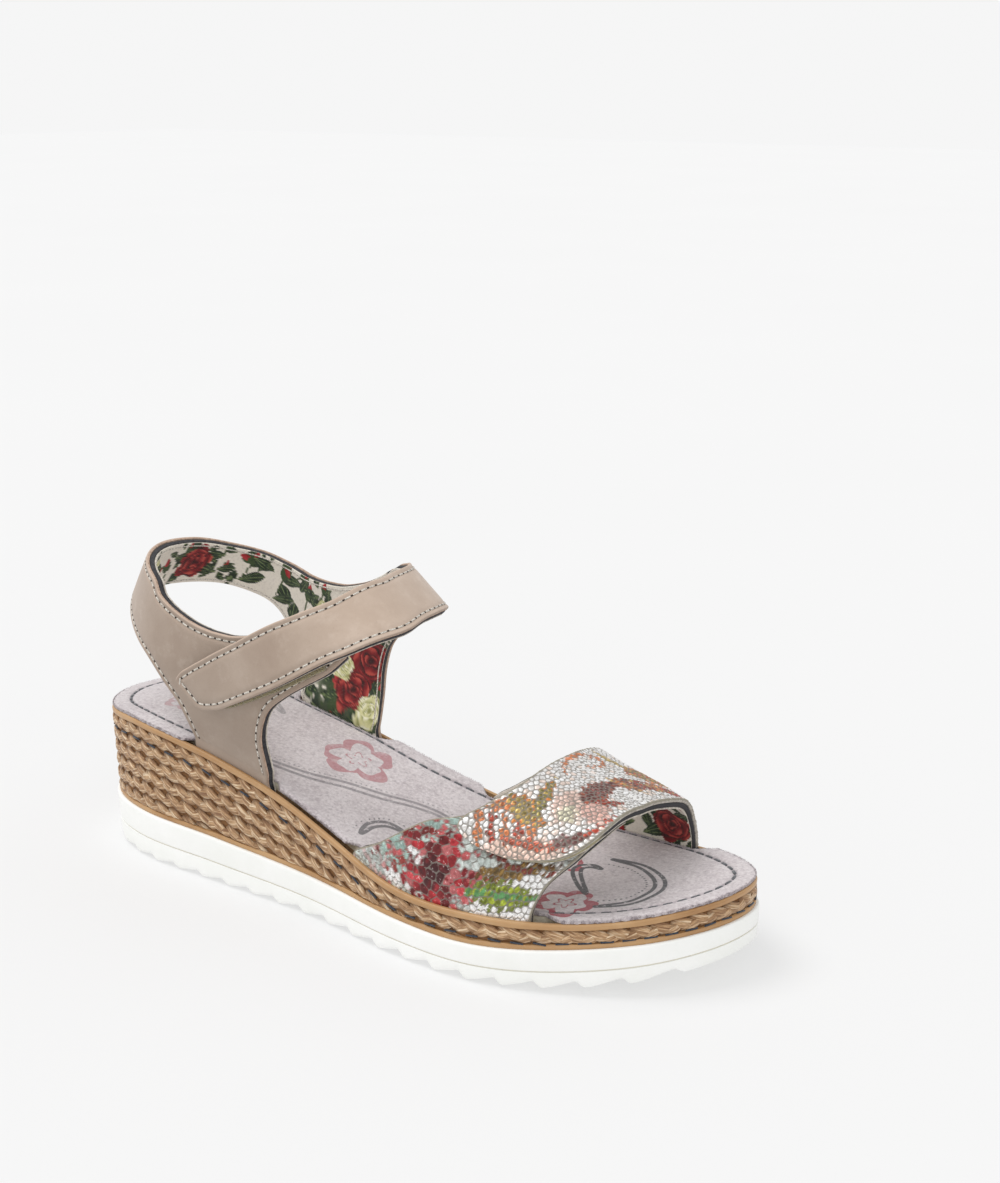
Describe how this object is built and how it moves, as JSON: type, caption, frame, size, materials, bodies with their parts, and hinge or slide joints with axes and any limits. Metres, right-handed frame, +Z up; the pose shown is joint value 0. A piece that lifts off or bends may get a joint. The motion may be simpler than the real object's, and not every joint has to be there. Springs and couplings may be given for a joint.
{
  "type": "wedge sandal",
  "caption": "Woman's right wedge sandal: lugged sole, braid-trimmed wedge, padded insole, open-heel quarter with a hook-and-loop ankle strap, and a vamp closed by a hook-and-loop strap.",
  "frame": {"origin": "on the ground under the middle of the waist, 122 mm in front of the back of the heel, on the line that runs from the back of the heel to the toe", "axes": "+X points to the toe, +Y to the medial side of the right foot, +Z up from the ground"},
  "size_m": [0.244, 0.087, 0.1071],
  "materials": {
    "outsole_white": "matt",
    "rim_tan": "smooth satin",
    "jute_braid": "plaited",
    "dark_thread": "twisted",
    "steel_shank": "brushed",
    "fibre_board": "raw",
    "cream_foam": "matt",
    "suede_sock": "suede",
    "nubuck": "nubuck",
    "black_foam": "matt",
    "rose_lining": "printed cotton",
    "loop_tape": "looped pile",
    "hook_tape": "hooked",
    "mosaic_leather": "metallic pebbled"
  },
  "bodies": {
    "sole_and_upper": {"outsole": "outsole_white", "wedge_body": "rim_tan", "top_braid": "jute_braid", "wall_braids": "jute_braid", "wall_stitches": "dark_thread", "shank": "steel_shank", "insole_board": "fibre_board", "footbed_foam": "cream_foam", "insole_sock": "suede_sock", "sock_stitches": "dark_thread", "quarter_leather": "nubuck", "quarter_foam": "black_foam", "quarter_lining": "rose_lining", "ankle_loop_tape": "loop_tape", "vamp_panel_leather": "mosaic_leather", "vamp_panel_foam": "black_foam", "vamp_panel_lining": "rose_lining", "vamp_loop_tape": "loop_tape", "vamp_strap_margin": "black_foam"},
    "ankle_strap": {"ankle_strap_leather": "nubuck", "ankle_strap_foam": "black_foam", "ankle_strap_lining": "rose_lining", "ankle_hook_tape": "hook_tape"},
    "vamp_strap": {"vamp_strap_leather": "mosaic_leather", "vamp_strap_foam": "black_foam", "vamp_strap_lining": "rose_lining", "vamp_hook_tape": "hook_tape"}
  },
  "joints": [
    {"name": "ankle_strap_open", "type": "hinge", "parent": "sole_and_upper", "child": "ankle_strap", "pos_m": [-0.01902, 0.02961, 0.0916], "axis": [-0.5505, -0.0887, 0.8301], "range_deg": [0, 100]},
    {"name": "vamp_strap_open", "type": "hinge", "parent": "sole_and_upper", "child": "vamp_strap", "pos_m": [0.052, 0.0421, 0.0209], "axis": [-1, 0, 0], "range_deg": [0, 70]}
  ]
}
